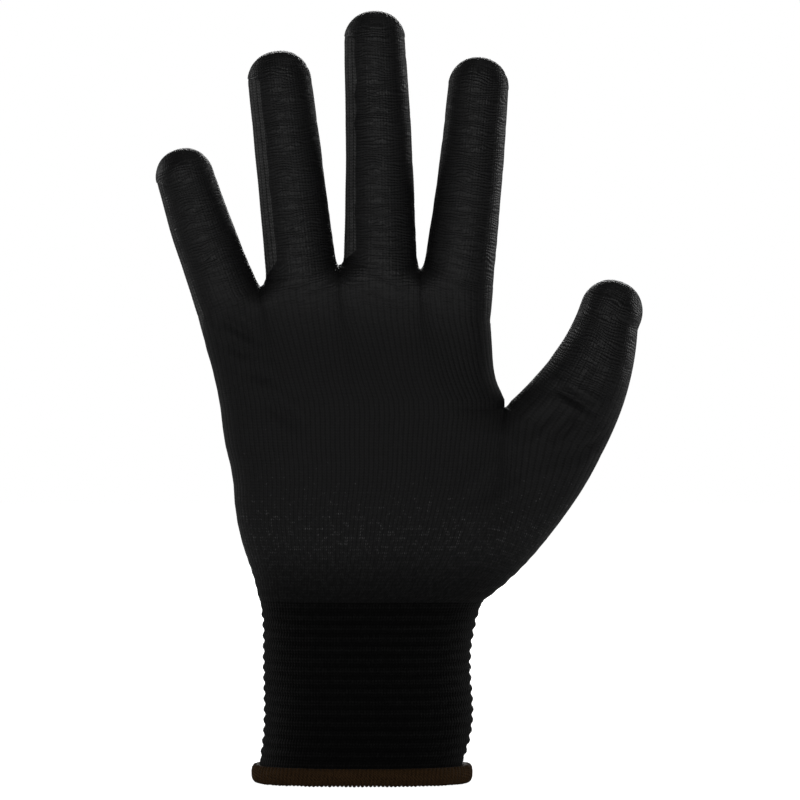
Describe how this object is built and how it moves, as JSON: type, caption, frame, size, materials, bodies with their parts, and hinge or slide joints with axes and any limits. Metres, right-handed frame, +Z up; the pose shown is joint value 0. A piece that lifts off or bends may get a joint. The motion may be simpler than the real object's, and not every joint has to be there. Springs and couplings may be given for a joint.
{
  "type": "cut resistant glove",
  "caption": "Right-hand cut resistant work glove with a knitted liner, a dipped palm, an elastic ribbed cuff and an overlocked mouth, jointed at the wrist, fingers and thumb.",
  "frame": {"origin": "middle of the mouth of the cuff, in the plane of its edge", "axes": "+Z up the fingers, -Y out of the palm, +X towards the thumb"},
  "size_m": [0.1557, 0.0454, 0.2503],
  "materials": {
    "liner_knit": "knitted, matte",
    "cuff_knit": "ribbed knit, matte",
    "coating": "dipped, satin, follows the knit",
    "coated_knit": "knit with a satin dip on the palm side",
    "elastic_thread": "covered elastic",
    "overlock_thread": "wrapped textured thread"
  },
  "bodies": {
    "cuff": {"cuff_knit": "cuff_knit", "cuff_elastic": "elastic_thread", "hem_overlock": "overlock_thread", "wrist_crease_knit": "cuff_knit", "wrist_crease_coating": "coating"},
    "palm": {"palm_knit": "liner_knit", "palm_coating": "coating", "little_root_crease": "coated_knit", "ring_root_crease": "coated_knit", "middle_root_crease": "coated_knit", "index_root_crease": "coated_knit", "thumb_root_crease": "coated_knit"},
    "little_proximal": {"little_proximal_knit": "liner_knit", "little_proximal_coating": "coating", "little_middle_crease": "coated_knit"},
    "little_middle": {"little_middle_knit": "liner_knit", "little_middle_coating": "coating", "little_tip_crease": "coated_knit"},
    "little_distal": {"little_distal_knit": "liner_knit", "little_distal_coating": "coating"},
    "ring_proximal": {"ring_proximal_knit": "liner_knit", "ring_proximal_coating": "coating", "ring_middle_crease": "coated_knit"},
    "ring_middle": {"ring_middle_knit": "liner_knit", "ring_middle_coating": "coating", "ring_tip_crease": "coated_knit"},
    "ring_distal": {"ring_distal_knit": "liner_knit", "ring_distal_coating": "coating"},
    "middle_proximal": {"middle_proximal_knit": "liner_knit", "middle_proximal_coating": "coating", "middle_middle_crease": "coated_knit"},
    "middle_middle": {"middle_middle_knit": "liner_knit", "middle_middle_coating": "coating", "middle_tip_crease": "coated_knit"},
    "middle_distal": {"middle_distal_knit": "liner_knit", "middle_distal_coating": "coating"},
    "index_proximal": {"index_proximal_knit": "liner_knit", "index_proximal_coating": "coating", "index_middle_crease": "coated_knit"},
    "index_middle": {"index_middle_knit": "liner_knit", "index_middle_coating": "coating", "index_tip_crease": "coated_knit"},
    "index_distal": {"index_distal_knit": "liner_knit", "index_distal_coating": "coating"},
    "thumb_proximal": {"thumb_proximal_knit": "liner_knit", "thumb_proximal_coating": "coating", "thumb_tip_crease": "coated_knit"},
    "thumb_distal": {"thumb_distal_knit": "liner_knit", "thumb_distal_coating": "coating"}
  },
  "joints": [
    {"name": "wrist_flex", "type": "hinge", "parent": "cuff", "child": "palm", "pos_m": [0, 0, 0.058], "axis": [1, 0, 0], "range_deg": [-50, 50], "deforming": ["wrist_crease_knit", "wrist_crease_coating"]},
    {"name": "little_root_flex", "type": "hinge", "parent": "palm", "child": "little_proximal", "pos_m": [-0.04718, -0.003, 0.16299], "axis": [1, 0, 0], "range_deg": [-10, 70], "deforming": ["little_root_crease"]},
    {"name": "little_middle_flex", "type": "hinge", "parent": "little_proximal", "child": "little_middle", "pos_m": [-0.05189, -0.003, 0.17723], "axis": [1, 0, 0], "range_deg": [0, 85], "deforming": ["little_middle_crease"]},
    {"name": "little_tip_flex", "type": "hinge", "parent": "little_middle", "child": "little_distal", "pos_m": [-0.05645, -0.003, 0.191], "axis": [1, 0, 0], "range_deg": [0, 50], "deforming": ["little_tip_crease"]},
    {"name": "ring_root_flex", "type": "hinge", "parent": "palm", "child": "ring_proximal", "pos_m": [-0.02216, -0.003, 0.17394], "axis": [1, 0, 0], "range_deg": [-10, 70], "deforming": ["ring_root_crease"]},
    {"name": "ring_middle_flex", "type": "hinge", "parent": "ring_proximal", "child": "ring_middle", "pos_m": [-0.02453, -0.003, 0.19481], "axis": [1, 0, 0], "range_deg": [0, 85], "deforming": ["ring_middle_crease"]},
    {"name": "ring_tip_flex", "type": "hinge", "parent": "ring_middle", "child": "ring_distal", "pos_m": [-0.02685, -0.003, 0.21518], "axis": [1, 0, 0], "range_deg": [0, 50], "deforming": ["ring_tip_crease"]},
    {"name": "middle_root_flex", "type": "hinge", "parent": "palm", "child": "middle_proximal", "pos_m": [0.00436, -0.003, 0.17603], "axis": [1, 0, 0], "range_deg": [-10, 70], "deforming": ["middle_root_crease"]},
    {"name": "middle_middle_flex", "type": "hinge", "parent": "middle_proximal", "child": "middle_middle", "pos_m": [0.00364, -0.003, 0.20102], "axis": [1, 0, 0], "range_deg": [0, 85], "deforming": ["middle_middle_crease"]},
    {"name": "middle_tip_flex", "type": "hinge", "parent": "middle_middle", "child": "middle_distal", "pos_m": [0.00293, -0.003, 0.22551], "axis": [1, 0, 0], "range_deg": [0, 50], "deforming": ["middle_tip_crease"]},
    {"name": "index_root_flex", "type": "hinge", "parent": "palm", "child": "index_proximal", "pos_m": [0.03083, -0.003, 0.17411], "axis": [1, 0, 0], "range_deg": [-10, 70], "deforming": ["index_root_crease"]},
    {"name": "index_middle_flex", "type": "hinge", "parent": "index_proximal", "child": "index_middle", "pos_m": [0.03283, -0.003, 0.19401], "axis": [1, 0, 0], "range_deg": [0, 85], "deforming": ["index_middle_crease"]},
    {"name": "index_tip_flex", "type": "hinge", "parent": "index_middle", "child": "index_distal", "pos_m": [0.03483, -0.003, 0.21391], "axis": [1, 0, 0], "range_deg": [0, 50], "deforming": ["index_tip_crease"]},
    {"name": "thumb_root_flex", "type": "hinge", "parent": "palm", "child": "thumb_proximal", "pos_m": [0.06482, -0.003, 0.12354], "axis": [0.828, -0.4226, -0.3686], "range_deg": [-10, 45], "deforming": ["thumb_root_crease"]},
    {"name": "thumb_tip_flex", "type": "hinge", "parent": "thumb_proximal", "child": "thumb_distal", "pos_m": [0.07214, -0.003, 0.13999], "axis": [0.828, -0.4226, -0.3686], "range_deg": [0, 60], "deforming": ["thumb_tip_crease"]}
  ],
  "couplings": [
    {"joint": "little_tip_flex", "follows": "little_middle_flex", "ratio": 0.5882},
    {"joint": "ring_tip_flex", "follows": "ring_middle_flex", "ratio": 0.5882},
    {"joint": "middle_tip_flex", "follows": "middle_middle_flex", "ratio": 0.5882},
    {"joint": "index_tip_flex", "follows": "index_middle_flex", "ratio": 0.5882}
  ]
}
